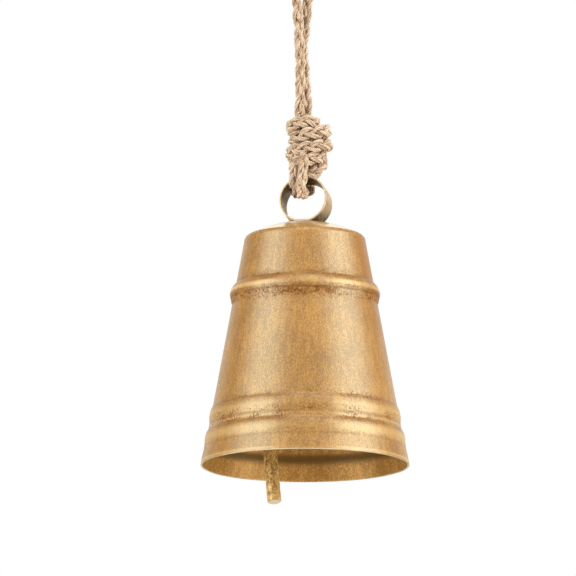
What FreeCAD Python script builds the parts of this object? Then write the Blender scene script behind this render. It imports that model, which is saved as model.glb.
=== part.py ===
"""Hanging sheet-metal bell on a knotted braided rope, with a rod clapper.

Heights are measured up from the plane of the bell's rim while the pieces are
made, and export() then moves the origin to the top of the hanging loop, where
a hook carries it.  +Z is up, +X is to the right of the front, +Y is to the back.
"""
import FreeCAD, Part
import math
import os
from FreeCAD import Placement, Rotation, Vector

# ---- driving dimensions, mm ------------------------------------------------
SHEET = 0.9                 # thickness of the bell's sheet metal
RIM_R = 48.0                # outside radius at the rim
RIM_FLARE_R = 47.45         # outside radius half way up the flare
RIM_FLARE_Z = 3.2
RIM_FLARE_TOP_Z = 6.6       # where the flare has run out into the cone
RIM_FLARE_PROUD = 0.42      # how far it still stands off the cone there
RIM_ROUNDING = 0.3          # radius of the rim's two edges
CONE_SLOPE = 0.187          # radius lost per mm of height along the wall
CONE_BASE_R = 47.5          # outside radius of the plain cone at the rim plane
SHOULDER_Z = 104.2          # where the wall starts to turn in
SHOULDER_BEND_Z = 106.25    # middle of the rounded shoulder
SHOULDER_BEND_IN = 0.75     # how far in the wall has come by then
BEND_NORMAL = math.radians(41)  # how far above level the wall faces there
CAP_R = 26.2                # radius of the joint between skirt and crown
CAP_Z = 107.1               # height of that joint
CROWN_R = 57.0              # radius of the domed crown

RING_R = 11.15              # outside radius of the strap ring
RING_T = 0.8                # thickness of the strap
RING_W = 12.0               # width of the strap
RING_CENTRE = Vector(0.4, 0, 122.8)
RING_TURN = 13.2            # degrees that the ring is turned about the vertical
RING_LEAN = 7.8             # degrees that its top leans to the back
RING_ROUNDING = 0.2         # radius of the strap's edges
FOOT_SINK = 0.4             # how far the ring's flat foot is ground into the dome

STAPLE_WIRE_R = 1.2
STAPLE_R = 4.5              # radius of the staple's bend
STAPLE_Z = 104.0            # height of the bend's centre
STAPLE_SPARE = 1.0          # extra length of its arms, ground off against the crown

LINK_WIRE_R = 1.0
LINK_TOP_EYE_R = 3.0
LINK_LOW_EYE_R = 4.0
LINK_DROP = 0.7             # how far the top eye's centre hangs below the staple's wire
LINK_LEAN = 18.8            # degrees to the left, from the vertical
LINK_REACH = 60.3           # from the staple's centre to the centre of the lower eye

ROD_R = 3.2
ROD_LEAN_SIDE = 4.7         # degrees, foot to the right
ROD_LEAN_FRONT = 11.0       # degrees, foot to the front
ROD_REACH = 63.2            # from the lower eye's wire to the rod's end
TONGUE_T = 1.8              # thickness of the rod's flattened top
TONGUE_L = 8.0
TONGUE_HOLE_R = 1.8
TONGUE_GAP = 1.19           # from the wire's centre to the top of the hole
ROD_CHAMFER = 0.4
CUT_CLEAR = 1.0             # how far a cutting block runs past the rod's top

ROPE_R = 2.2                # radius of the braided rope
HOOK_BEND_R = 6.2           # radius of the rope's centre line over the hook
LOOP_TOP_Z = 257.0          # height of the loop's highest corner
SWAY_PIVOT = Vector(-0.9, 0, 156.0)
KNOT_TOP_R = 6.2            # the knot's round top, centred on the sway pivot
RUNNING_GAP = 0.6           # between the knot's round top and the rope above it
BEND_SHARE = 0.45           # share of the shorter straight that each bend of rope takes

KNOT_LOBES = [
    # centre height, radius the lobe reaches, half height
    (141.6, 7.9, 2.9),
    (147.3, 9.2, 2.9),
    (152.7, 9.0, 2.6),
    (157.1, 7.7, 2.1),
]
LOBE_NECK = 0.8             # how far the waist between lobes is drawn in, in half heights
KNOT_LUMPS = [
    # centre, radius: the ball that hangs down, two lumps on the right, the round top
    (Vector(5.3, -0.5, 138.4), 4.5),
    (Vector(9.7, -1.0, 149.6), 3.4),
    (Vector(9.9, -1.5, 155.4), 2.5),
    (SWAY_PIVOT, KNOT_TOP_R),
]
TOLERANCE = 0.01            # when an edge is found by its height

# ---- the rope's routes: corners of the centre line, chosen by hand ----------
LOOP_SHOULDER = 7.57        # from the loop's top corner to its side corners
LOOP_SHOULDER_DROP = 4.98
LOOP_ROUTE = [
    Vector(-2.5, -1.4, 158.5),
    Vector(-2.4, -1.45, 170.0),
    Vector(-2.0, -2.05, 183.0),
    Vector(-2.35, -2.25, 195.5),
    Vector(-3.1, -1.7, 207.5),
    Vector(-3.5, -1.1, 220.5),
    Vector(-5.2, -0.3, 237.0),
    Vector(-LOOP_SHOULDER, 0, LOOP_TOP_Z - LOOP_SHOULDER_DROP),
    Vector(0, 0, LOOP_TOP_Z),
    Vector(LOOP_SHOULDER, 0, LOOP_TOP_Z - LOOP_SHOULDER_DROP),
    Vector(4.2, 0.3, 237.0),
    Vector(1.35, 1.0, 220.5),
    Vector(0.8, 1.6, 207.5),
    Vector(-1.15, 2.3, 195.5),
    Vector(-0.1, 2.1, 183.0),
    Vector(1.1, 1.5, 170.0),
    Vector(1.5, 1.3, 158.5),
]
# The two turns through the ring, turned with it: x across the ring, y along it.
TURN_ROUTES = {
    "rope_turn_left": [
        Vector(-3.2, -5.4, 144.2),
        Vector(-3.3, -7.3, 136.6),
        Vector(-3.8, -7.0, 128.1),
        Vector(-4.6, 9.9, 127.6),
        Vector(-4.4, 10.2, 136.5),
        Vector(-3.8, 6.0, 144.2),
    ],
    "rope_turn_right": [
        Vector(1.5, -6.8, 144.2),
        Vector(1.3, -9.9, 136.4),
        Vector(0.1, -10.3, 122.8),
        Vector(0.6, 1.0, 128.5),
        Vector(0.4, 10.1, 129.4),
        Vector(0.7, 10.3, 137.2),
        Vector(1.0, 6.2, 144.2),
    ],
}

UP = Vector(0, 0, 1)


def cone_r(height):
    """Outside radius of the plain conical wall at a height."""
    return CONE_BASE_R - CONE_SLOPE * height


def outline(start, steps):
    """Edges from a start point: a step is an end point, or (middle, end) of an arc."""
    edges = []
    here = start
    for step in steps:
        if isinstance(step, tuple):
            middle, end = step
            edges.append(Part.Arc(here, middle, end).toShape())
        else:
            end = step
            edges.append(Part.LineSegment(here, end).toShape())
        here = end
    return edges


def revolved(edges):
    """Solid of revolution of a closed outline in the XZ plane."""
    face = Part.Face(Part.Wire(Part.__sortEdges__(edges)))
    return face.revolve(Vector(0, 0, 0), UP, 360)


def rz(radius, height):
    return Vector(radius, 0, height)


# ---- bell --------------------------------------------------------------------
BEADS = [
    # (radius, height) of the foot, the underside's middle, the crest and the top's middle; head height
    ((46.22, 9.4), (46.21, 10.3), (46.16, 11.3), (45.62, 14.2), 16.4),
    ((43.87, 19.4), (43.98, 20.8), (44.02, 22.2), (43.43, 25.0), 27.3),
    ((33.58, 74.6), (34.14, 77.1), (34.57, 79.8), (33.74, 82.3), 84.7),
]


def wall_steps(inset):
    """The wall's line from the rim up to the shoulder, with its rolled beads."""
    flare_top_r = cone_r(RIM_FLARE_TOP_Z) + RIM_FLARE_PROUD
    steps = [(rz(RIM_FLARE_R - inset, RIM_FLARE_Z), rz(flare_top_r - inset, RIM_FLARE_TOP_Z))]
    for *bead, head in BEADS:
        foot, under, crest, over = (rz(radius - inset, height) for radius, height in bead)
        steps += [foot, (under, crest)]
        steps.append((over, rz(cone_r(head) - inset, head)))
    steps.append(rz(cone_r(SHOULDER_Z) - inset, SHOULDER_Z))
    return steps


def bell_skirt():
    """Rolled cone with three beads, flared at the rim and turned in at the top."""
    inset = SHEET / math.cos(math.atan(CONE_SLOPE))
    top_r = cone_r(SHOULDER_Z)
    outer_end = rz(CAP_R, CAP_Z)
    inner_end = cap_inner_edge()
    bend_r = top_r - SHOULDER_BEND_IN
    outer = outline(rz(RIM_R, 0), wall_steps(0))
    outer += outline(rz(top_r, SHOULDER_Z), [(rz(bend_r, SHOULDER_BEND_Z), outer_end)])
    inner = outline(rz(RIM_R - inset, 0), wall_steps(inset))
    bend_inside = rz(bend_r - SHEET * math.cos(BEND_NORMAL),
                     SHOULDER_BEND_Z - SHEET * math.sin(BEND_NORMAL))
    inner += outline(rz(top_r - inset, SHOULDER_Z), [(bend_inside, inner_end)])
    closing = outline(outer_end, [inner_end]) + outline(rz(RIM_R - inset, 0), [rz(RIM_R, 0)])
    solid = revolved(outer + inner + closing)
    rim_edges = [e for e in solid.Edges
                 if abs(e.BoundBox.ZMax) < TOLERANCE and e.Length > 2 * RIM_R]
    return solid.makeFillet(RIM_ROUNDING, rim_edges)


def cap_inner_edge():
    """Inner end of the joint face, square to the crown's sheet."""
    lean = math.asin(CAP_R / CROWN_R)
    return rz(CAP_R - SHEET * math.sin(lean), CAP_Z - SHEET * math.cos(lean))


def crown_centre():
    return Vector(0, 0, CAP_Z - math.sqrt(CROWN_R ** 2 - CAP_R ** 2))


def crown_top_z():
    return crown_centre().z + CROWN_R


def crown_cap():
    """Domed disc that closes the top of the skirt."""
    centre = crown_centre()
    inner_r = CROWN_R - SHEET
    half = math.asin(CAP_R / CROWN_R) / 2
    outer_mid = rz(CROWN_R * math.sin(half), centre.z + CROWN_R * math.cos(half))
    inner_mid = rz(inner_r * math.sin(half), centre.z + inner_r * math.cos(half))
    edges = outline(rz(0, centre.z + CROWN_R), [
        (outer_mid, rz(CAP_R, CAP_Z)),
        cap_inner_edge(),
        (inner_mid, rz(0, centre.z + inner_r)),
        rz(0, centre.z + CROWN_R),
    ])
    return revolved(edges)


# ---- strap ring ----------------------------------------------------------------
def leaning_drum(radius, floor_z):
    """Round drum as wide as the strap, leaning and turned as the ring is, cut off level at floor_z."""
    drum = Part.makeCylinder(radius, RING_W, Vector(0, -RING_W / 2, 0), Vector(0, 1, 0))
    drum.rotate(Vector(0, 0, 0), Vector(1, 0, 0), -RING_LEAN)
    drum.rotate(Vector(0, 0, 0), UP, -RING_TURN)
    drum.translate(RING_CENTRE)
    wide = 4 * RING_R
    below = Part.makeBox(wide, wide, wide)
    below.translate(Vector(-wide / 2, -wide / 2, floor_z - wide))
    return drum.cut(below)


def strap_ring():
    """Flat strap rolled into a ring, with a flat foot seated on the crown."""
    foot_z = crown_top_z() - FOOT_SINK
    ring = leaning_drum(RING_R, foot_z).cut(leaning_drum(RING_R - RING_T, foot_z + RING_T))
    round_edges = [e for e in ring.Edges
                   if e.Curve.TypeId == "Part::GeomCircle" and e.BoundBox.ZMax > RING_CENTRE.z]
    ring = ring.makeFillet(RING_ROUNDING, round_edges)
    return ring.cut(Part.makeSphere(CROWN_R, crown_centre()))


# ---- clapper -------------------------------------------------------------------
def swept(edges, radius):
    """Round bar of a radius along a chain of edges."""
    path = Part.Wire(edges)
    start = path.OrderedVertexes[0].Point
    tangent = edges[0].tangentAt(edges[0].FirstParameter)
    section = Part.Wire(Part.Circle(start, tangent, radius).toShape())
    return path.makePipeShell([section], True, False)


def clapper_staple():
    """U of wire brazed under the crown; the link hangs in its bend."""
    arm = Vector(0, 0, crown_top_z() + STAPLE_SPARE - STAPLE_Z)
    left = Vector(-STAPLE_R, 0, STAPLE_Z)
    right = Vector(STAPLE_R, 0, STAPLE_Z)
    edges = [
        Part.LineSegment(left + arm, left).toShape(),
        Part.Arc(left, Vector(0, 0, STAPLE_Z - STAPLE_R), right).toShape(),
        Part.LineSegment(right, right + arm).toShape(),
    ]
    return swept(edges, STAPLE_WIRE_R).common(Part.makeSphere(CROWN_R - SHEET, crown_centre()))


def link_direction():
    lean = math.radians(LINK_LEAN)
    return Vector(-math.sin(lean), 0, -math.cos(lean))


def lower_eye_centre():
    return Vector(0, 0, STAPLE_Z) + link_direction() * LINK_REACH


def clapper_link():
    """Straight wire with an eye at each end, the two eyes at right angles."""
    down = link_direction()
    across = Vector(0, 1, 0).cross(down)
    top_eye = Vector(0, 0, STAPLE_Z) + down * (STAPLE_R + LINK_DROP)
    low_eye = lower_eye_centre()
    shank_from = top_eye + down * LINK_TOP_EYE_R
    shank_to = low_eye - down * LINK_LOW_EYE_R
    link = Part.makeTorus(LINK_TOP_EYE_R, LINK_WIRE_R, top_eye, across)
    link = link.fuse(Part.makeTorus(LINK_LOW_EYE_R, LINK_WIRE_R, low_eye, Vector(0, 1, 0)))
    length = (shank_to - shank_from).Length
    return link.fuse(Part.makeCylinder(LINK_WIRE_R, length, shank_from, down)).removeSplitter()


def rod_direction():
    """Down the rod, from the link to the end that strikes."""
    side = math.tan(math.radians(ROD_LEAN_SIDE))
    front = math.tan(math.radians(ROD_LEAN_FRONT))
    return Vector(side, -front, -1).normalize()


def rod_pivot():
    """Centre of the lower eye's wire where the rod hangs."""
    down = rod_direction()
    in_plane = Vector(down.x, 0, down.z).normalize()
    return lower_eye_centre() + in_plane * LINK_LOW_EYE_R


def clapper_rod():
    """Round rod, flattened and drilled at the top, square at the bottom."""
    hole_s = TONGUE_HOLE_R - TONGUE_GAP
    top_s = hole_s - ROD_R
    wide = 4 * ROD_R
    rod = Part.makeCylinder(ROD_R, ROD_REACH - top_s, Vector(0, 0, top_s), UP)
    end_edges = [e for e in rod.Edges if e.BoundBox.ZMin > ROD_REACH - TOLERANCE]
    rod = rod.makeChamfer(ROD_CHAMFER, end_edges)
    for side in (-1, 1):
        waste = Part.makeBox(ROD_R, wide, TONGUE_L + CUT_CLEAR)
        low = TONGUE_T / 2 if side > 0 else -TONGUE_T / 2 - ROD_R
        waste.translate(Vector(low, -wide / 2, top_s - CUT_CLEAR))
        rod = rod.cut(waste)
    corner = Part.makeBox(wide, wide, wide / 2)
    corner.translate(Vector(-wide / 2, -wide / 2, hole_s - wide / 2))
    across = Vector(1, 0, 0)
    hole_from = Vector(-wide / 2, 0, hole_s)
    rod = rod.cut(corner.cut(Part.makeCylinder(ROD_R, wide, hole_from, across)))
    rod = rod.cut(Part.makeCylinder(TONGUE_HOLE_R, wide, hole_from, across))
    down = rod_direction()
    wire = Vector(down.x, 0, down.z).normalize().cross(Vector(0, 1, 0))
    spread = down.cross(wire)
    rod.Placement = Placement(FreeCAD.Matrix(
        wire.x, spread.x, down.x, 0,
        wire.y, spread.y, down.y, 0,
        wire.z, spread.z, down.z, 0,
        0, 0, 0, 1))
    rod.translate(rod_pivot())
    return rod


# ---- rope ----------------------------------------------------------------------
def rope_tube(name, route):
    """Round tube along straight runs joined by tangent arcs."""
    edges = []
    here = route[0]
    radii = []
    for before, corner, after in zip(route, route[1:], route[2:]):
        back = before - corner
        ahead = after - corner
        shorter = min(back.Length, ahead.Length)
        half_turn = (math.pi - back.getAngle(ahead)) / 2
        radius = BEND_SHARE * shorter / math.tan(half_turn)
        radii.append(radius)
        back = back.normalize()
        ahead = ahead.normalize()
        start = corner + back * BEND_SHARE * shorter
        end = corner + ahead * BEND_SHARE * shorter
        inward = (back + ahead).normalize()
        middle = corner + inward * (radius / math.cos(half_turn) - radius)
        edges.append(Part.LineSegment(here, start).toShape())
        edges.append(Part.Arc(start, middle, end).toShape())
        here = end
    edges.append(Part.LineSegment(here, route[-1]).toShape())
    tube = swept(edges, ROPE_R)
    length = sum(e.Length for e in edges)
    expected = math.pi * ROPE_R ** 2 * length
    print(name, "length %.1f mm" % length, "arc radii", " ".join("%.1f" % r for r in radii))
    print(name, "volume / (section x length) = %.4f" % (tube.Volume / expected))
    return tube


def rope_knot():
    """Outer shape of the wrapped knot: stacked turns, side lumps and a hanging ball."""
    low_height, low_reach, low_half = KNOT_LOBES[0]
    top_height, _, top_half = KNOT_LOBES[-1]
    bottom = low_height - low_half
    top = top_height + top_half
    steps = [rz(low_reach - low_half, bottom)]
    for height, reach, half in KNOT_LOBES:
        steps.append((rz(reach, height), rz(reach - half * LOBE_NECK, height + half)))
    steps.append(rz(0, top))
    steps.append(rz(0, bottom))
    knot = revolved(outline(rz(0, bottom), steps))
    for centre, radius in KNOT_LUMPS:
        knot = knot.fuse(Part.makeSphere(radius, centre))
    return knot.removeSplitter()


def rope_loop():
    """Both legs and the top of the hanging loop, stopping just clear of the knot."""
    tube = rope_tube("rope_hanging_loop", LOOP_ROUTE)
    return tube.cut(Part.makeSphere(KNOT_TOP_R + RUNNING_GAP, SWAY_PIVOT))


def rope_turn(name):
    """One turn of the rope through the ring; its ends are bound up in the knot."""
    tube = rope_tube(name, TURN_ROUTES[name])
    tube.rotate(Vector(0, 0, 0), UP, -RING_TURN)
    return tube


# ---- output --------------------------------------------------------------------
def hook_point_z():
    """Underside of the rope at the top of the loop, where a hook bears."""
    half_turn = math.radians(90 - math.degrees(math.atan2(LOOP_SHOULDER, LOOP_SHOULDER_DROP)))
    dip = HOOK_BEND_R / math.cos(half_turn) - HOOK_BEND_R
    return LOOP_TOP_Z - dip - ROPE_R


def export(name, shape):
    solids = shape.Solids
    shape = solids[0] if len(solids) == 1 else Part.makeCompound(solids)
    shape.translate(Vector(0, 0, -hook_point_z()))
    print("%-20s solids %d valid %s volume %.1f mm3" % (name, len(solids), shape.isValid(), shape.Volume))
    shape.exportStep("parts/%s.step" % name)


def main():
    os.makedirs("parts", exist_ok=True)
    pieces = {
        "bell_skirt": bell_skirt(),
        "crown_cap": crown_cap(),
        "strap_ring": strap_ring(),
        "clapper_staple": clapper_staple(),
        "clapper_link": clapper_link(),
        "clapper_rod": clapper_rod(),
        "rope_hanging_loop": rope_loop(),
        "rope_turn_left": rope_turn("rope_turn_left"),
        "rope_turn_right": rope_turn("rope_turn_right"),
        "rope_knot": rope_knot(),
    }
    for name, shape in pieces.items():
        export(name, shape)
    print("hook point is %.2f mm above the rim" % hook_point_z())


main()
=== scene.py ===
"""Hanging sheet-metal bell on a knotted, braided jute rope.

Every length is in metres, in the row's frame: +Z up, the hook at the origin,
the front towards -Y.  Heights written in millimetres are above the bell's rim.
"""
import math
import random

import bpy
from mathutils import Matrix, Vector, kdtree


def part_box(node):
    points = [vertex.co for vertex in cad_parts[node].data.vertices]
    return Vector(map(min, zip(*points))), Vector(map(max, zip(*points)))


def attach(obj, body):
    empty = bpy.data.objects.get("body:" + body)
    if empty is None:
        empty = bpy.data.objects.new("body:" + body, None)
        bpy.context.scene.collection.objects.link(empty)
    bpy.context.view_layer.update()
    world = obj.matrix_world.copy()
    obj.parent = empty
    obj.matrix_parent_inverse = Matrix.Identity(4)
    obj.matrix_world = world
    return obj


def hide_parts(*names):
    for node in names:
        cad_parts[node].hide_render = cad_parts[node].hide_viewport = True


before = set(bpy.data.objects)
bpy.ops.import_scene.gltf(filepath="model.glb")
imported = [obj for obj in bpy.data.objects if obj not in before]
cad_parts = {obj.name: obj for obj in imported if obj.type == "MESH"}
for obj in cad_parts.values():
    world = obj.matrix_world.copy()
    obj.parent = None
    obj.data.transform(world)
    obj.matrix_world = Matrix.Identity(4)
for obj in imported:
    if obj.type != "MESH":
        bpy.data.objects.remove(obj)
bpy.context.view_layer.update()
random.seed(7)

MM = 0.001
RIM_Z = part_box("bell_skirt")[0][2]
RING_TURN = math.radians(-13.2)     # the strap ring is turned about the vertical


def at(x, y, height):
    """A point from millimetres: across, to the back, and above the rim."""
    return Vector((x * MM, y * MM, height * MM + RIM_Z))


# ---- camera, light and floor ------------------------------------------------------
CAMERA_DISTANCE = 6.0
CAMERA_ELEVATION = math.radians(-10.1)
CAMERA_REACH = 100.0
SENSOR_MM = 36.0
VIEW_WIDTH = 0.265
VIEW_CENTRE = at(-7.8, 0, 82.8)
FLOOR_Z = -9.5
FLOOR_HALF = 8.0
FLOOR_GREY = (0.86, 0.86, 0.85, 1)
FLOOR_ROUGHNESS = 0.7
WHITE = (1, 1, 1, 1)

# Soft boxes: azimuth and elevation in degrees, distance, width, height, and power in watts.
SOFT_BOXES = {
    "soft_left": (-61, 8, 1.6, 1.3, 2.5, 35),
    "soft_right": (66, 8, 1.6, 1.45, 2.5, 45),
    "soft_top": (10, 64, 1.8, 1.2, 1.2, 8),
}

# The world's light where a ray points: (coordinate from, to, strength from, to).
BACK_LIGHT = (0.45, 0.80, 0, 1)
BACK_GAP_ACROSS = (0.0, 0.10, 0.7, 1.15)
BACK_GAP_ABOVE = (0.04, 0.18, 0.15, 1)
BACK_GAP_BELOW = (-0.04, -0.14, 0.15, 1)
LIGHT_BELOW = (-0.25, -0.85, 0, 1.2)
LIGHT_ABOVE = (0.45, 0.95, 0, 0.45)
LIGHT_IN_FRONT = (0.2, -1.0, 0.12, 0.38)


def make_camera():
    data = bpy.data.cameras.new("camera")
    data.sensor_width = SENSOR_MM
    data.lens = SENSOR_MM * CAMERA_DISTANCE / VIEW_WIDTH
    data.clip_end = CAMERA_REACH
    camera = bpy.data.objects.new("camera", data)
    back = Vector((0, -math.cos(CAMERA_ELEVATION), math.sin(CAMERA_ELEVATION)))
    camera.location = VIEW_CENTRE + back * CAMERA_DISTANCE
    camera.rotation_mode = "QUATERNION"
    camera.rotation_quaternion = (-back).to_track_quat("-Z", "Y")
    bpy.context.collection.objects.link(camera)
    bpy.context.scene.camera = camera


def area_light(name, azimuth, elevation, distance, width, height, power):
    """A soft box that faces the bell; azimuth 0 is the camera's side, positive to the right."""
    a, e = math.radians(azimuth), math.radians(elevation)
    out = Vector((math.sin(a) * math.cos(e), -math.cos(a) * math.cos(e), math.sin(e)))
    data = bpy.data.lights.new(name, "AREA")
    data.shape = "RECTANGLE"
    data.size, data.size_y = width, height
    data.energy = power
    light = bpy.data.objects.new(name, data)
    light.location = VIEW_CENTRE + out * distance
    light.rotation_mode = "QUATERNION"
    light.rotation_quaternion = (-out).to_track_quat("-Z", "Y")
    bpy.context.collection.objects.link(light)


def make_world():
    """White behind the bell but for a narrow gap, grey around it, pale above and below."""
    world = bpy.data.worlds.new("studio")
    bpy.context.scene.world = world
    world.use_nodes = True
    tree = world.node_tree
    tree.nodes.clear()
    graph = Graph(tree)
    direction = graph.node("ShaderNodeTexCoord").outputs["Generated"]
    x, y, z = graph.node("ShaderNodeSeparateXYZ", Vector=direction).outputs
    behind = graph.remap(y, *BACK_LIGHT, smooth=True)
    beside_gap = graph.remap(graph.math("ABSOLUTE", x), *BACK_GAP_ACROSS, smooth=True)
    behind = graph.math("MULTIPLY", behind, beside_gap)
    level_gap = graph.math("MAXIMUM", graph.remap(z, *BACK_GAP_ABOVE, smooth=True),
                           graph.remap(z, *BACK_GAP_BELOW, smooth=True))
    behind = graph.math("MULTIPLY", behind, level_gap)
    below = graph.remap(z, *LIGHT_BELOW, smooth=True)
    above = graph.remap(z, *LIGHT_ABOVE, smooth=True)
    front = graph.remap(y, *LIGHT_IN_FRONT, smooth=True)
    level = graph.math("MAXIMUM", graph.math("MAXIMUM", behind, below), graph.math("MAXIMUM", above, front))
    around = graph.node("ShaderNodeBackground", Color=WHITE, Strength=level)
    seen = graph.node("ShaderNodeBackground", Color=WHITE, Strength=1.0)
    camera_ray = graph.node("ShaderNodeLightPath").outputs["Is Camera Ray"]
    both = graph.node("ShaderNodeMixShader", {0: camera_ray, 1: around.outputs[0], 2: seen.outputs[0]})
    graph.node("ShaderNodeOutputWorld", Surface=both.outputs[0])


def make_floor():
    mesh = bpy.data.meshes.new("floor")
    corners = [(-1, -1), (1, -1), (1, 1), (-1, 1)]
    mesh.from_pydata([(x * FLOOR_HALF, y * FLOOR_HALF, FLOOR_Z) for x, y in corners], [], [(0, 1, 2, 3)])
    floor = bpy.data.objects.new("floor", mesh)
    bpy.context.collection.objects.link(floor)
    material, graph, shader = new_material("floor_pale")
    shader.inputs["Base Color"].default_value = FLOOR_GREY
    shader.inputs["Roughness"].default_value = FLOOR_ROUGHNESS
    mesh.materials.append(material)


# ---- node graphs --------------------------------------------------------------------
class Graph:
    """Short calls that add and link shader nodes."""

    def __init__(self, tree):
        self.tree = tree

    def set(self, node, key, value):
        socket = node.inputs[key]
        if isinstance(value, bpy.types.Node):
            value = value.outputs[0]
        if isinstance(value, bpy.types.NodeSocket):
            self.tree.links.new(value, socket)
        else:
            socket.default_value = value

    def node(self, kind, by_index=None, **inputs):
        node = self.tree.nodes.new(kind)
        for key, value in {**(by_index or {}), **inputs}.items():
            self.set(node, key, value)
        return node

    def math(self, operation, *values, clamp=False):
        node = self.tree.nodes.new("ShaderNodeMath")
        node.operation = operation
        node.use_clamp = clamp
        for i, value in enumerate(values):
            self.set(node, i, value)
        return node.outputs[0]

    def remap(self, value, low, high, new_low=0.0, new_high=1.0, smooth=False):
        node = self.tree.nodes.new("ShaderNodeMapRange")
        node.clamp = True
        if smooth:
            node.interpolation_type = "SMOOTHSTEP"
        for key, v in (("Value", value), ("From Min", low), ("From Max", high),
                       ("To Min", new_low), ("To Max", new_high)):
            self.set(node, key, v)
        return node.outputs["Result"]

    def ramp(self, value, stops):
        node = self.tree.nodes.new("ShaderNodeValToRGB")
        elements = node.color_ramp.elements
        while len(elements) < len(stops):
            elements.new(0.5)
        for element, (place, colour) in zip(elements, stops):
            element.position = place
            element.color = colour
        self.set(node, 0, value)
        return node.outputs["Color"]

    def noise(self, vector, scale, detail=3.0, rough=0.5):
        node = self.tree.nodes.new("ShaderNodeTexNoise")
        for key, v in (("Vector", vector), ("Scale", scale), ("Detail", detail), ("Roughness", rough)):
            self.set(node, key, v)
        return node.outputs["Fac"]

    def mix(self, factor, a, b):
        node = self.tree.nodes.new("ShaderNodeMix")
        node.data_type = "RGBA"
        self.set(node, 0, factor)
        self.set(node, 6, a)
        self.set(node, 7, b)
        return node.outputs[2]

    def scaled(self, vector, x, y, z):
        node = self.tree.nodes.new("ShaderNodeMapping")
        self.set(node, "Vector", vector)
        node.inputs["Scale"].default_value = (x, y, z)
        return node.outputs[0]


def new_material(name):
    material = bpy.data.materials.new(name)
    material.use_nodes = True
    tree = material.node_tree
    return material, Graph(tree), tree.nodes["Principled BSDF"]


def bump(graph, shader, height, strength, distance):
    node = graph.node("ShaderNodeBump", Height=height)
    node.inputs["Strength"].default_value = strength
    node.inputs["Distance"].default_value = distance
    graph.set(shader, "Normal", node.outputs[0])


# ---- metal ---------------------------------------------------------------------------
# Bands round the wall, as height above the rim, half height and strength.
DARK_LINES = (
    (8.1, 0.9, 0.2), (15.1, 1.1, 0.3), (18.8, 0.9, 0.3),
    (26.2, 1.1, 0.3), (77.8, 0.9, 0.65), (84.3, 1.9, 0.3),
)
BROWN_HAZES = (
    (8.6, 2.6, 0.2), (15.4, 2.2, 0.4), (19.6, 2.6, 0.6),
    (26.3, 2.2, 0.5), (77.4, 5.0, 1.0), (85.2, 3.2, 0.6),
)
# Painted highlights: pale gold on the beads' crests and upper slopes and just above the rim.
PAINTED_HIGHLIGHT_BANDS = (
    (1.2, 1.0, 0.3), (11.0, 3.4, 0.3), (17.2, 0.9, 0.25),
    (21.4, 3.4, 0.3), (80.7, 1.6, 0.55),
)
SPECKLED_DARK = (
    (9.0, 1.8, 0.5), (18.0, 5.5, 0.9), (27.0, 2.5, 0.7),
    (76.6, 5.5, 1.0), (84.8, 3.6, 0.75),
)
# Painted shade inside the wall, in a band above the lowest bead.
SHADED_INSIDE = ((10.1, 3.4, 0.9),)
BAND_CORE = 0.25                    # the part of a band's half height that has its full strength

WALL_GOLD = (0.43, 0.186, 0.026)
# The inside's gold is the same paint with its tone set for the inside's shade: painted shade.
INSIDE_SHADE_GOLD = (0.58, 0.285, 0.062)
CROWN_GOLD = (0.80, 0.47, 0.17)
ROD_GOLD = (0.73, 0.45, 0.135)
FLAKE_DARK = (0.72, 0.68, 0.58)     # the darkest and palest flakes, as parts of the gold
FLAKE_PALE = (1.28, 1.38, 1.60)
CLOUD_SHARE, STREAK_SHARE, GRAIN_SHARE = 0.18, 0.24, 0.58

HIGHLIGHT_GOLD = (0.90, 0.58, 0.22, 1)
RIM_WEAR_AND_HIGHLIGHT = (0.95, 0.78, 0.50, 1)
BROWN = (0.31, 0.110, 0.018, 1)
DARK_BROWN = (0.17, 0.060, 0.012, 1)
OLIVE_BROWN = (0.20, 0.105, 0.022, 1)
NICK_BROWN = (0.16, 0.07, 0.03, 1)
RING_REFLECTION_BROWN = (0.32, 0.145, 0.033, 1)
HOLLOW_BROWN = (0.26, 0.13, 0.035, 1)
PALE_END = (1.0, 0.80, 0.52, 1)

STRAP_INSIDE = [
    (0.0, (0.17, 0.118, 0.042, 1)), (0.55, (0.29, 0.21, 0.085, 1)),
    (0.8, (0.41, 0.31, 0.14, 1)), (1.0, (0.80, 0.69, 0.46, 1)),
]
STRAP_OUTSIDE = [
    (0.0, (0.47, 0.30, 0.145, 1)), (0.5, (0.62, 0.43, 0.235, 1)), (1.0, (0.78, 0.61, 0.38, 1)),
]
# Painted shadow where the strap curves under at its foot.
STRAP_FOOT_SHADOW = (0.075, 0.055, 0.022, 1)
# Painted highlight along the strip's edges.
STRAP_EDGE_HIGHLIGHT = (0.66, 0.50, 0.27, 1)
STRAP_METALLIC = 0.75
WIRE = [
    (0.0, (0.40, 0.38, 0.35, 1)), (0.6, (0.30, 0.26, 0.21, 1)), (1.0, (0.17, 0.105, 0.055, 1)),
]
WIRE_METALLIC = 0.9

PAINT_METALLIC = 0.15
PAINT_IOR = 2.05
GREENISH_SHEEN = (0.57, 1.0, 0.92, 1)
WARM_SHEEN = (1.0, 0.90, 0.66, 1)
GLOSSY, DULLED = 0.5, 0.1           # specular level of clean and of stained paint
ROUGHNESS_SPREAD = 0.08
LACQUER_ROUGHNESS = 0.1
LACQUER_IOR = 1.8
SIDES_APART = 0.002                 # how far a normal and an outward vector must agree


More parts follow.
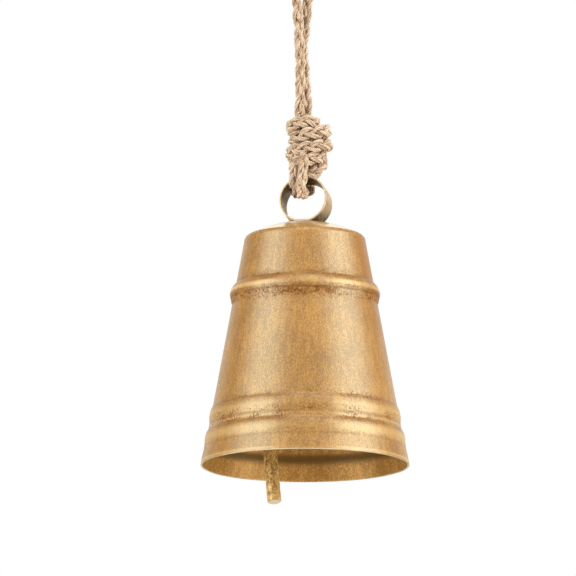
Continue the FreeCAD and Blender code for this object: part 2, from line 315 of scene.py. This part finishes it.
def dressed(graph, shader, place, colour, roughness, coat, stain):
    """A sprayed metallic surface: uneven gloss, a greenish-gold sheen and, if coated, clear lacquer."""
    graph.set(shader, "Base Color", colour)
    tooth = graph.noise(place, scale=1100, detail=3, rough=0.6)
    smoothest, roughest = roughness - ROUGHNESS_SPREAD, roughness + ROUGHNESS_SPREAD
    graph.set(shader, "Roughness", graph.remap(tooth, 0.3, 0.7, smoothest, roughest))
    shader.inputs["Metallic"].default_value = PAINT_METALLIC
    shader.inputs["IOR"].default_value = PAINT_IOR
    shader.inputs["Specular Tint"].default_value = GREENISH_SHEEN
    graph.set(shader, "Specular IOR Level", graph.remap(stain, 0, 0.8, GLOSSY, DULLED))
    graph.set(shader, "Coat Weight", coat)
    shader.inputs["Coat Roughness"].default_value = LACQUER_ROUGHNESS
    shader.inputs["Coat IOR"].default_value = LACQUER_IOR


def speckled(graph, place, base):
    """Gold flake in brown lacquer: clouds, faint streaks down the wall and a sparkle of flakes."""
    cloud = graph.noise(place, scale=60, detail=4, rough=0.6)
    streak = graph.noise(graph.scaled(place, 1.0, 1.0, 0.08), scale=480, detail=3, rough=0.65)
    grain = graph.noise(graph.scaled(place, 1.0, 1.0, 0.6), scale=1900, detail=2, rough=0.7)
    tone = graph.math("ADD", graph.math("MULTIPLY", cloud, CLOUD_SHARE),
                      graph.math("MULTIPLY", streak, STREAK_SHARE))
    tone = graph.math("ADD", tone, graph.math("MULTIPLY", grain, GRAIN_SHARE))
    dark = tuple(c * k for c, k in zip(base, FLAKE_DARK)) + (1,)
    pale = tuple(min(1.0, c * k) for c, k in zip(base, FLAKE_PALE)) + (1,)
    stops = [(0.0, dark), (0.5, (*base, 1)), (1.0, pale)]
    return graph.ramp(graph.remap(tone, 0.44, 0.58), stops), grain


def banded(graph, z, bands):
    """For bands of (height, half height, strength): each strength at its height, fading to 0."""
    total = 0.0
    for height, half, strength in bands:
        away = graph.math("ABSOLUTE", graph.math("SUBTRACT", z, RIM_Z + height * MM))
        band = graph.remap(away, BAND_CORE * half * MM, half * MM, strength, 0, smooth=True)
        total = graph.math("MAXIMUM", total, band)
    return total


def length_of(graph, x, y):
    squares = graph.math("ADD", graph.math("MULTIPLY", x, x), graph.math("MULTIPLY", y, y))
    return graph.math("SQRT", squares)


def bell_gold():
    """Outside: speckled gold, brown about the beads, painted highlights on the beads, and pale along the
    rim, partly bare and partly painted highlight; inside: gold set for its shade, with a painted shade
    band.
    """
    material, graph, shader = new_material("bell_gold")
    coordinates = graph.node("ShaderNodeTexCoord")
    place = coordinates.outputs["Object"]
    x, y, z = graph.node("ShaderNodeSeparateXYZ", Vector=place).outputs
    nx, ny, _ = graph.node("ShaderNodeSeparateXYZ", Vector=coordinates.outputs["Normal"]).outputs
    outward = graph.math("ADD", graph.math("MULTIPLY", x, nx), graph.math("MULTIPLY", y, ny))
    outside = graph.remap(outward, -SIDES_APART, SIDES_APART)
    colour, grain = speckled(graph, place, WALL_GOLD)

    # The hazes are strong over the front and the back; the painted highlights on the bead crests and slopes
    # are strongest over the flanks.
    facing = graph.remap(graph.math("ABSOLUTE", x), 9 * MM, 19 * MM, 1, 0.3, smooth=True)
    flanking = graph.math("MULTIPLY_ADD", facing, -1.1, 1.33)
    # Painted highlight: pale gold on the bead slopes, mostly on the flanks.
    painted_highlight = graph.math("MULTIPLY", banded(graph, z, PAINTED_HIGHLIGHT_BANDS), flanking)
    colour = graph.mix(painted_highlight, colour, HIGHLIGHT_GOLD)

    patch = graph.noise(graph.scaled(place, 1, 1, 2.4), scale=75, detail=5, rough=0.75)
    mottle = graph.noise(place, scale=700, detail=3, rough=0.8)
    haze = graph.remap(graph.math("MULTIPLY_ADD", mottle, 0.8, patch), 0.88, 1.04)
    haze = graph.math("MULTIPLY", haze, banded(graph, z, BROWN_HAZES))
    haze = graph.math("MULTIPLY", haze, facing)
    # Browner towards the right flank, from 35 to 90 mm above the rim.
    to_right = graph.math("DIVIDE", x, length_of(graph, x, y))
    browner_right_flank = graph.math("MULTIPLY", graph.remap(to_right, 0.78, 0.90, 0, 0.55, smooth=True),
                        graph.remap(z, RIM_Z + 35 * MM, RIM_Z + 90 * MM))
    haze = graph.math("MAXIMUM", haze, browner_right_flank)
    colour = graph.mix(haze, colour, BROWN)

    specks = graph.remap(graph.noise(place, scale=1050, detail=2, rough=0.6), 0.51, 0.57)
    specks = graph.math("MULTIPLY", specks, graph.remap(patch, 0.45, 0.55, 0.1, 0.9))
    specks = graph.math("MULTIPLY", specks, banded(graph, z, SPECKLED_DARK))
    colour = graph.mix(specks, colour, DARK_BROWN)

    ragged = graph.math("MULTIPLY_ADD", graph.math("SUBTRACT", mottle, 0.5), 2.4 * MM, z)
    breaks = graph.math("MULTIPLY_ADD", mottle, 0.5, graph.noise(place, scale=130, detail=3, rough=0.6))
    line = graph.math("MULTIPLY", banded(graph, ragged, DARK_LINES),
                      graph.remap(breaks, 0.60, 0.80, 0.3, 1))
    colour = graph.mix(line, colour, DARK_BROWN)

    pits = graph.noise(graph.scaled(place, 1, 1, 2.0), scale=330, detail=2, rough=0.5)
    colour = graph.mix(graph.remap(pits, 0.735, 0.76, 0, 0.8), colour, NICK_BROWN)

    # The inside: a copy of the gold set for the inside's shade, with a band of painted shade above the
    # lowest bead.
    inner, _ = speckled(graph, place, INSIDE_SHADE_GOLD)
    inner = graph.mix(banded(graph, z, SHADED_INSIDE), inner, OLIVE_BROWN)
    colour = graph.mix(outside, inner, colour)

    # Pale along the rim's edge: partly worn paint, partly a painted highlight.
    rim_wear_and_highlight = graph.remap(z, RIM_Z + 0.15 * MM, RIM_Z + 0.5 * MM, 1, 0)
    uneven = graph.remap(graph.noise(place, scale=45, detail=2, rough=0.5), 0.4, 0.6, 0.25, 0.8)
    colour = graph.mix(graph.math("MULTIPLY", rim_wear_and_highlight, uneven), colour, RIM_WEAR_AND_HIGHLIGHT)

    dull = graph.math("MAXIMUM", graph.math("MAXIMUM", haze, line), graph.remap(outside, 0, 1, 0.85, 0))
    dull = graph.math("MAXIMUM", dull, specks)
    dressed(graph, shader, place, colour, roughness=0.40, coat=0, stain=dull)
    bump(graph, shader, grain, strength=0.6, distance=0.0001)
    return material


def crown_gold():
    """The crown's paler, glossier gold, with the ring and knot's reflection painted as a dull brown strip
    from the ring to the front edge.
    """
    material, graph, shader = new_material("crown_gold")
    place = graph.node("ShaderNodeTexCoord").outputs["Object"]
    colour, grain = speckled(graph, place, CROWN_GOLD)
    x, y, _ = graph.node("ShaderNodeSeparateXYZ", Vector=place).outputs
    # Painted reflection of the ring and knot: a brown strip down the middle of the crown's front, without
    # lacquer and with duller gloss.
    drift = graph.noise(graph.scaled(place, 1, 0.5, 1), scale=130, detail=3, rough=0.65)
    drift = graph.math("SUBTRACT", drift, 0.5)
    across = graph.math("ABSOLUTE", graph.math("MULTIPLY_ADD", drift, 9 * MM, x))
    run = graph.remap(across, 2 * MM, 7 * MM, 1, 0, smooth=True)
    run = graph.math("MULTIPLY", run, graph.remap(y, -4 * MM, 4 * MM, 1, 0, smooth=True))
    colour = graph.mix(graph.math("MULTIPLY", run, 0.75), colour, RING_REFLECTION_BROWN)
    lacquer = graph.math("SUBTRACT", 1.0, run)
    dressed(graph, shader, place, colour, roughness=0.30, coat=lacquer, stain=run)
    bump(graph, shader, grain, strength=0.3, distance=0.00012)
    return material


def dot(graph, a, b):
    node = graph.node("ShaderNodeVectorMath", {0: a, 1: b})
    node.operation = "DOT_PRODUCT"
    return node.outputs["Value"]


def worn_strap():
    """Aged strap: tan outside with scratches along it, olive-black and pitted inside the ring, with a
    painted shadow at its foot and painted highlights along its edges.
    """
    material, graph, shader = new_material("worn_strap")
    coordinates = graph.node("ShaderNodeTexCoord")
    place, normal = coordinates.outputs["Object"], coordinates.outputs["Normal"]
    ring_low, ring_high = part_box("strap_ring")
    local = graph.node("ShaderNodeVectorMath", {0: place, 1: tuple((ring_low + ring_high) / 2)})
    local.operation = "SUBTRACT"
    from_centre = local.outputs[0]
    outside = graph.remap(dot(graph, from_centre, normal), -SIDES_APART, SIDES_APART)

    grime = graph.noise(place, scale=700, detail=4, rough=0.75)
    scratch = graph.noise(graph.scaled(place, 2.6, 1.0, 0.45), scale=1500, detail=3, rough=0.7)
    pitted = graph.remap(graph.math("MULTIPLY_ADD", scratch, 0.5, grime), 0.58, 0.98)
    inner = graph.ramp(pitted, STRAP_INSIDE)
    outer = graph.ramp(graph.remap(scratch, 0.34, 0.68), STRAP_OUTSIDE)

    x, _, z = graph.node("ShaderNodeSeparateXYZ", Vector=from_centre).outputs
    # Painted shadow where the strap curves under at its foot, on its right.
    foot = graph.remap(z, -9 * MM, -4 * MM, 1, 0, smooth=True)
    foot_shadow = graph.math("MULTIPLY", foot, graph.remap(x, 1 * MM, 4 * MM))
    foot_shadow = graph.math("MULTIPLY", foot_shadow, graph.remap(grime, 0.35, 0.55, 0.45, 1))
    outer = graph.mix(foot_shadow, outer, STRAP_FOOT_SHADOW)
    colour = graph.mix(outside, inner, outer)

    # Painted highlight along the strip's edges.
    ring_axis = (-math.sin(RING_TURN), math.cos(RING_TURN), 0)
    on_edge = graph.math("ABSOLUTE", dot(graph, normal, ring_axis))
    colour = graph.mix(graph.remap(on_edge, 0.6, 0.85, 0, 0.7), colour, STRAP_EDGE_HIGHLIGHT)

    graph.set(shader, "Base Color", colour)
    graph.set(shader, "Roughness", graph.remap(grime, 0.3, 0.7, 0.36, 0.56))
    shader.inputs["Metallic"].default_value = STRAP_METALLIC
    bump(graph, shader, graph.math("ADD", grime, scratch), strength=0.5, distance=0.00012)
    return material


def rod_gold():
    """Rough bar under gold paint, browner in its hollows, and paler on its flat bottom end."""
    material, graph, shader = new_material("rod_gold")
    coordinates = graph.node("ShaderNodeTexCoord")
    place = coordinates.outputs["Object"]
    lumps = graph.noise(graph.scaled(place, 1, 1, 0.7), scale=520, detail=4, rough=0.7)
    colour, grain = speckled(graph, place, ROD_GOLD)
    hollow = graph.remap(lumps, 0.40, 0.53, 0.9, 0)
    colour = graph.mix(hollow, colour, HOLLOW_BROWN)
    # Paler where the surface faces down: the rod's flat end.
    _, _, nz = graph.node("ShaderNodeSeparateXYZ", Vector=coordinates.outputs["Normal"]).outputs
    colour = graph.mix(graph.remap(nz, -0.7, -0.9, 0, 0.8), colour, PALE_END)
    dressed(graph, shader, place, colour, roughness=0.28, coat=0, stain=hollow)
    shader.inputs["Specular Tint"].default_value = WARM_SHEEN
    bump(graph, shader, graph.math("MULTIPLY_ADD", grain, 0.4, lumps), strength=0.8, distance=0.0003)
    return material


def drawn_wire():
    """Dull drawn wire with brown ageing."""
    material, graph, shader = new_material("drawn_wire")
    place = graph.node("ShaderNodeTexCoord").outputs["Object"]
    stain = graph.noise(place, scale=380, detail=4, rough=0.6)
    graph.set(shader, "Base Color", graph.ramp(graph.remap(stain, 0.36, 0.66), WIRE))
    graph.set(shader, "Roughness", graph.remap(stain, 0.3, 0.7, 0.32, 0.5))
    shader.inputs["Metallic"].default_value = WIRE_METALLIC
    scratches = graph.noise(place, scale=1600, detail=2, rough=0.6)
    bump(graph, shader, scratches, strength=0.3, distance=0.0001)
    return material


def dress_metal():
    wire = drawn_wire()
    for node, material in (
        ("bell_skirt", bell_gold()),
        ("crown_cap", crown_gold()),
        ("strap_ring", worn_strap()),
        ("clapper_rod", rod_gold()),
        ("clapper_link", wire),
        ("clapper_staple", wire),
    ):
        set_material(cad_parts[node], material)


def set_material(obj, material):
    for slot in obj.material_slots:
        slot.material = material
    if not obj.material_slots:
        obj.data.materials.append(material)


# ---- rope ------------------------------------------------------------------------------
# Control points of each run, from end to end: across, to the back, above the rim.
LOOP_ROUTE = [
    at(-2.5, -1.4, 158.5),
    at(-2.4, -1.45, 170.0),
    at(-2.0, -2.05, 183.0),
    at(-2.35, -2.25, 195.5),
    at(-3.1, -1.7, 207.5),
    at(-3.5, -1.1, 220.5),
    at(-5.2, -0.3, 237.0),
    at(-7.57, 0, 252.02),
    at(0, 0, 257.0),
    at(7.57, 0, 252.02),
    at(4.2, 0.3, 237.0),
    at(1.35, 1.0, 220.5),
    at(0.8, 1.6, 207.5),
    at(-1.15, 2.3, 195.5),
    at(-0.1, 2.1, 183.0),
    at(1.1, 1.5, 170.0),
    at(1.5, 1.3, 158.5),
]
# The turns through the ring, turned with it: x across the ring, y along it.
TURN_ROUTES = {
    "rope_turn_left": [
        (-3.2, -5.4, 144.2),
        (-3.3, -7.3, 136.6),
        (-3.8, -7.0, 128.1),
        (-4.6, 9.9, 127.6),
        (-4.4, 10.2, 136.5),
        (-3.8, 6.0, 144.2),
    ],
    "rope_turn_right": [
        (1.5, -6.8, 144.2),
        (1.3, -9.9, 136.4),
        (0.1, -10.3, 122.8),
        (0.6, 1.0, 128.5),
        (0.4, 10.1, 129.4),
        (0.7, 10.3, 137.2),
        (1.0, 6.2, 144.2),
    ],
}
KNOT_ROUTE = [
    at(2.2, 1.0, 143.5),
    at(1.2, -1.6, 139.6),
    at(2.6, -4.2, 136.2),
    at(6.0, -4.8, 136.4),
    at(7.8, -3.4, 140.2),
    at(8.2, 4.6, 142.0),
    at(2.0, 6.4, 141.0),
    at(-5.8, 5.4, 140.6),
    at(-5.8, -6.8, 141.0),
    at(8.4, -7.2, 143.0),
    at(8.2, 5.8, 144.3),
    at(-7.0, 6.2, 145.4),
    at(-7.0, -6.9, 146.2),
    at(11.2, -7.0, 149.0),
    at(10.9, 6.0, 150.2),
    at(-5.8, 6.2, 151.4),
    at(-5.8, -6.7, 152.6),
    at(10.6, -6.6, 155.6),
    at(10.2, 5.6, 156.7),
    at(-6.9, 5.4, 157.2),
    at(-7.0, -5.6, 158.0),
    at(1.4, -6.6, 160.4),
    at(6.2, -4.6, 158.8),
    at(3.8, 4.2, 159.9),
    at(-2.0, 2.4, 160.0),
]
# Where the ropes inside the knot stand, beneath its wraps.
CORES = [
    # across, to the back, foot, head
    (-2.3, -2.3, 141.0, 160.5),
    (2.5, -2.4, 141.0, 160.5),
    (-2.2, 2.3, 141.0, 160.5),
    (2.5, 2.2, 141.0, 160.5),
    (7.4, -3.2, 141.5, 155.5),
    (7.2, 2.4, 141.5, 155.5),
]


def turned(points):
    """Points in the strap ring's axes, turned with it."""
    c, s = math.cos(RING_TURN), math.sin(RING_TURN)
    return [at(c * x - s * y, s * x + c * y, z) for x, y, z in points]


def smooth_line(route):
    """The points of a smooth NURBS curve that has the route as its control points."""
    data = bpy.data.curves.new("route", "CURVE")
    data.dimensions = "3D"
    data.resolution_u = 24
    spline = data.splines.new("NURBS")
    spline.points.add(len(route) - 1)
    for point, place in zip(spline.points, route):
        point.co = (*place, 1)
    spline.order_u = 3
    spline.use_endpoint_u = True
    holder = bpy.data.objects.new("route", data)
    mesh = bpy.data.meshes.new_from_object(holder)
    line = [v.co.copy() for v in mesh.vertices]
    bpy.data.objects.remove(holder)
    bpy.data.curves.remove(data)
    bpy.data.meshes.remove(mesh)
    return line


def spaced(line, step):
    """The same line with its points a step apart."""
    ends = [0.0]
    for a, b in zip(line, line[1:]):
        ends.append(ends[-1] + (b - a).length)
    count = max(2, round(ends[-1] / step))
    result = []
    j = 0
    for i in range(count + 1):
        want = ends[-1] * i / count
        while j < len(line) - 2 and ends[j + 1] < want:
            j += 1
        span = ends[j + 1] - ends[j]
        result.append(line[j].lerp(line[j + 1], (want - ends[j]) / span if span else 0))
    return result


def tangents(line):
    last = len(line) - 1
    return [(line[min(i + 1, last)] - line[max(i - 1, 0)]).normalized() for i in range(last + 1)]


def carried_frames(line, first, pull=None):
    """Two directions square to the line at each point, carried along it and drawn towards pull."""
    along = tangents(line)
    side = (first - along[0] * first.dot(along[0])).normalized()
    frames = []
    for tangent in along:
        if pull:
            side = side + pull
        side = (side - tangent * side.dot(tangent)).normalized()
        frames.append((side, tangent.cross(side)))
    return frames


class MeshParts:
    """Collects the tubes of one piece, with a UV along each and how deep each vertex lies."""

    def __init__(self):
        self.vertices, self.faces, self.uvs = [], [], []
        self.strands = []

    def tube(self, line, frames, radius_at, sides, strand=False):
        base = len(self.vertices)
        for i, (point, (side, up)) in enumerate(zip(line, frames)):
            for k in range(sides):
                angle = 2 * math.pi * k / sides
                r = radius_at(i, angle)
                self.vertices.append(point + side * (r * math.cos(angle)) + up * (r * math.sin(angle)))
        rings = len(line)
        run = 0.0
        for i in range(rings - 1):
            ahead = run + (line[i + 1] - line[i]).length
            for k in range(sides):
                a = base + i * sides + k
                b = base + i * sides + (k + 1) % sides
                self.faces.append((a, b, b + sides, a + sides))
                left, right = k / sides, (k + 1) / sides
                self.uvs += [(left, run), (right, run), (right, ahead), (left, ahead)]
            run = ahead
        for ring, order in ((0, reversed(range(sides))), (rings - 1, range(sides))):
            self.faces.append(tuple(base + ring * sides + k for k in order))
            self.uvs += [(0, 0)] * sides
        if strand:
            self.strands.append((base, base + rings * sides, line, sides))

    def crevices(self, reach):
        """For each vertex, how near it lies to another strand's surface: 1 touching, 0 clear."""
        tree = kdtree.KDTree(sum(len(line) for _, _, line, _ in self.strands))
        owners = []
        for number, (_, _, line, _) in enumerate(self.strands):
            for i, point in enumerate(line):
                tree.insert(point, len(owners))
                owners.append((number, i))
        tree.balance()
        deep = [0.0] * len(self.vertices)
        for number, (start, end, _, sides) in enumerate(self.strands):
            for v in range(start, end):
                here = (v - start) // sides
                for _, found, distance in tree.find_range(self.vertices[v], YARN_R + reach):
                    owner, place = owners[found]
                    if owner == number and abs(place - here) < NEAR_RINGS:
                        continue
                    deep[v] = max(deep[v], min(1.0, 1 - (distance - YARN_R) / reach))
        return deep

    def finish(self, name, material):
        mesh = bpy.data.meshes.new(name)
        mesh.from_pydata(self.vertices, [], self.faces)
        layer = mesh.uv_layers.new(name="strand")
        layer.data.foreach_set("uv", [c for uv in self.uvs for c in uv])
        deep = mesh.attributes.new("crevice", "FLOAT", "POINT")
        deep.data.foreach_set("value", self.crevices(CREVICE_REACH))
        mesh.materials.append(material)
        mesh.polygons.foreach_set("use_smooth", [True] * len(mesh.polygons))
        obj = bpy.data.objects.new(name, mesh)
        bpy.context.collection.objects.link(obj)
        return obj


STRANDS = 3
STRAND_R = 0.00119
YARNS = 3                   # twisted together in each strand
YARN_R = 0.00072
YARN_PITCH = 0.0150
YARN_PITCH_SPREAD = (0.85, 1.2)
YARN_R_SPREAD = (0.92, 1.08)
YARN_SIDES = 8
STEP = 0.0005               # between the rings of a yarn
CREVICE_REACH = 0.0006
NEAR_RINGS = 8              # rings of the same yarn too close to count as another
PHASE_STEP = 1.9            # between the plaits of one piece


class Braid:
    """How three strands are plaited: half width and half depth of their paths, and the pitch."""

    def __init__(self, wide, deep, pitch, pull=None):
        self.wide, self.deep, self.pitch, self.pull = wide, deep, pitch, pull


STRETCHED = Braid(0.00130, 0.00100, 0.0250)
TURNED = Braid(0.00125, 0.00100, 0.0200)
WRAPPED = Braid(0.00195, 0.00085, 0.0185, Vector((0, 0, 0.06)))


def turns_along(line, pitch):
    """The angle that a helix of this pitch has turned through at each point."""
    run = 0.0
    turns = [0.0]
    for a, b in zip(line, line[1:]):
        run += (b - a).length
        turns.append(run * 2 * math.pi / pitch)
    return turns


def waver(size, rate, turn, start):
    """An unevenness along a run: its size, its rate for each radian of turn, and where it starts."""
    return size * math.sin(turn * rate + start)


def plait(parts, line, first_side, braid, phase=0.0):
    """Three strands plaited along a line."""
    frames = carried_frames(line, first_side, braid.pull)
    turns = turns_along(line, braid.pitch)
    for strand in range(STRANDS):
        shift = phase + strand * 2 * math.pi / STRANDS
        wobble = random.uniform(0, 10)
        centre = []
        for point, (side, up), turn in zip(line, frames, turns):
            theta = turn + shift + waver(0.22, 0.37, turn, wobble)
            wide = braid.wide * (1 + waver(0.10, 0.61, turn, wobble))
            centre.append(point + side * (wide * math.sin(theta)) + up * (braid.deep * math.sin(2 * theta)))
        twist_yarns(parts, centre, first_side)


def twist_yarns(parts, line, first_side):
    """One strand: soft yarns twisted together, each a little uneven."""
    frames = carried_frames(line, first_side)
    turns = turns_along(line, YARN_PITCH * random.uniform(*YARN_PITCH_SPREAD))
    for yarn in range(YARNS):
        shift = yarn * 2 * math.pi / YARNS
        wobble = random.uniform(0, 10)
        thick = random.uniform(*YARN_R_SPREAD)
        centre = []
        for point, (side, up), turn in zip(line, frames, turns):
            theta = turn + shift + waver(0.35, 0.45, turn, wobble)
            off = (STRAND_R - YARN_R) * (1.05 + waver(0.22, 0.83, turn, wobble))
            centre.append(point + side * (off * math.cos(theta)) + up * (off * math.sin(theta)))

        def radius_at(i, angle):
            lumps = waver(0.07, 1.9, turns[i], wobble) + waver(0.06, 4.7, turns[i], 2 * wobble)
            ridge = 0.06 * math.cos(3 * angle + turns[i] * 2.1 + wobble)
            return YARN_R * thick * (1 + lumps + ridge)

        parts.tube(centre, carried_frames(centre, first_side), radius_at, YARN_SIDES, strand=True)


FIBRES_PER_METRE = 3400
FIBRE_R = 0.000045
FIBRE_SIDES = 3
FIBRE_POINTS = 4
FIBRE_REACH = (0.0003, 0.0011)
FIBRE_LEAN = (1.2, 3.0)
FIBRE_SWIRL = (-0.6, 0.6)
FIBRE_ROOT = 0.86           # how far out a fibre starts, as a part of the plait's outline


def fibre_radius(i, angle):
    """A fibre tapers towards its tip and is round."""
    return FIBRE_R * (1.2 - 0.3 * i)


def fibres(parts, line, first_side, braid):
    """Loose jute hairs that stand a little off the rope."""
    frames = carried_frames(line, first_side, braid.pull)
    along = tangents(line)
    length = sum((b - a).length for a, b in zip(line, line[1:]))
    for _ in range(int(length * FIBRES_PER_METRE)):
        i = random.randrange(1, len(line) - 1)
        side, up = frames[i]
        angle = random.uniform(0, 2 * math.pi)
        out = side * math.cos(angle) + up * math.sin(angle)
        lean = along[i] * random.choice((-1, 1)) * random.uniform(*FIBRE_LEAN)
        skin = side * (math.cos(angle) * (braid.wide + STRAND_R))
        skin += up * (math.sin(angle) * (braid.deep + STRAND_R))
        start = line[i] + skin * FIBRE_ROOT
        reach = random.uniform(*FIBRE_REACH)
        swirl = out.cross(along[i]) * random.uniform(*FIBRE_SWIRL)
        points = []
        for k in range(FIBRE_POINTS):
            t = k / (FIBRE_POINTS - 1)
            points.append(start + (out * t * (1.2 - 0.5 * t) + lean * t * 0.9 + swirl * t * t) * reach)
        parts.tube(points, carried_frames(points, out + swirl), fibre_radius, FIBRE_SIDES)


JUTE = [
    (0.0, (0.29, 0.155, 0.073, 1)), (0.40, (0.605, 0.425, 0.264, 1)), (1.0, (0.85, 0.685, 0.51, 1)),
]
JUTE_SPECK = (0.25, 0.115, 0.045, 1)
# Painted shade between the yarns, and how strong it is.
JUTE_CREVICE_SHADE = (0.17, 0.070, 0.026, 1)
CREVICE_SHADE_STRENGTH = 0.66
FIBRE_SLANT = -700.0        # radians that the fibres turn round a yarn in a metre
FIBRE_FINENESS = (1.5, 420.0)   # the fibre noise's frequency round a yarn and along it
JUTE_ROUGHNESS = 0.75
JUTE_SPECULAR = 0.35
JUTE_SHEEN = 0.12
JUTE_SHEEN_ROUGHNESS = 0.5


def jute():
    """Natural jute: pale tan fibres twisted along each yarn, with painted shade between the yarns."""
    material, graph, shader = new_material("jute")
    place = graph.node("ShaderNodeTexCoord").outputs["Object"]
    layer = graph.node("ShaderNodeUVMap")
    layer.uv_map = "strand"
    u, v, _ = graph.node("ShaderNodeSeparateXYZ", Vector=layer.outputs[0]).outputs
    twist = graph.math("MULTIPLY_ADD", u, 2 * math.pi, graph.math("MULTIPLY", v, FIBRE_SLANT))
    around, lengthwise = FIBRE_FINENESS
    fibre_place = graph.node("ShaderNodeCombineXYZ")
    graph.set(fibre_place, "X", graph.math("MULTIPLY", graph.math("COSINE", twist), around))
    graph.set(fibre_place, "Y", graph.math("MULTIPLY", graph.math("SINE", twist), around))
    graph.set(fibre_place, "Z", graph.math("MULTIPLY", v, lengthwise))
    fibre = graph.noise(fibre_place.outputs[0], scale=1.0, detail=4, rough=0.75)
    tone = graph.noise(place, scale=260, detail=3, rough=0.6)
    fleck = graph.noise(place, scale=1300, detail=2, rough=0.6)
    both = graph.math("ADD", graph.math("MULTIPLY", tone, 0.25), graph.math("MULTIPLY", fibre, 0.75))
    colour = graph.ramp(graph.remap(both, 0.37, 0.63), JUTE)
    colour = graph.mix(graph.remap(fleck, 0.60, 0.71, 0, 0.55), colour, JUTE_SPECK)
    # Painted shade where a yarn lies close against another.
    attribute = graph.node("ShaderNodeAttribute")
    attribute.attribute_name = "crevice"
    deep = graph.math("POWER", attribute.outputs["Fac"], 2.8, clamp=True)
    colour = graph.mix(graph.math("MULTIPLY", deep, CREVICE_SHADE_STRENGTH), colour, JUTE_CREVICE_SHADE)
    graph.set(shader, "Base Color", colour)
    shader.inputs["Roughness"].default_value = JUTE_ROUGHNESS
    shader.inputs["Specular IOR Level"].default_value = JUTE_SPECULAR
    shader.inputs["Sheen Weight"].default_value = JUTE_SHEEN
    shader.inputs["Sheen Roughness"].default_value = JUTE_SHEEN_ROUGHNESS
    bump(graph, shader, fibre, strength=0.9, distance=0.0003)
    return material


def braided(name, lines, braid, node, body, material, phase):
    """One rope piece, plaited along each of its lines, in place of a plain CAD solid."""
    side = Vector((1, 0, 0))
    parts = MeshParts()
    for number, line in enumerate(lines):
        plait(parts, line, side, braid, phase + number * PHASE_STEP)
        fibres(parts, line, side, braid)
    piece = parts.finish(name, material)
    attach(piece, body)
    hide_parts(node)
    return piece


def make_rope():
    material = jute()
    loop_line = spaced(smooth_line(LOOP_ROUTE), STEP)
    loop = braided("rope_loop_braid", [loop_line], STRETCHED, "rope_hanging_loop", "rope", material, 0.4)
    wraps = [spaced(smooth_line(KNOT_ROUTE), STEP)]
    for x, y, foot, head in CORES:
        wraps.append(spaced([at(x, y, foot), at(x, y, head)], STEP))
    knot = braided("rope_knot_braid", wraps, WRAPPED, "rope_knot", "knot", material, 1.3)
    for number, (node, route) in enumerate(TURN_ROUTES.items()):
        line = spaced(smooth_line(turned(route)), STEP)
        turn = braided(node + "_braid", [line], TURNED, node, "knot", material, 2.0 * number)


# ---- the scene ---------------------------------------------------------------------------
make_camera()
make_world()
make_floor()
for light_name, box_values in SOFT_BOXES.items():
    area_light(light_name, *box_values)
bpy.context.scene.view_settings.view_transform = "Standard"
dress_metal()
make_rope()
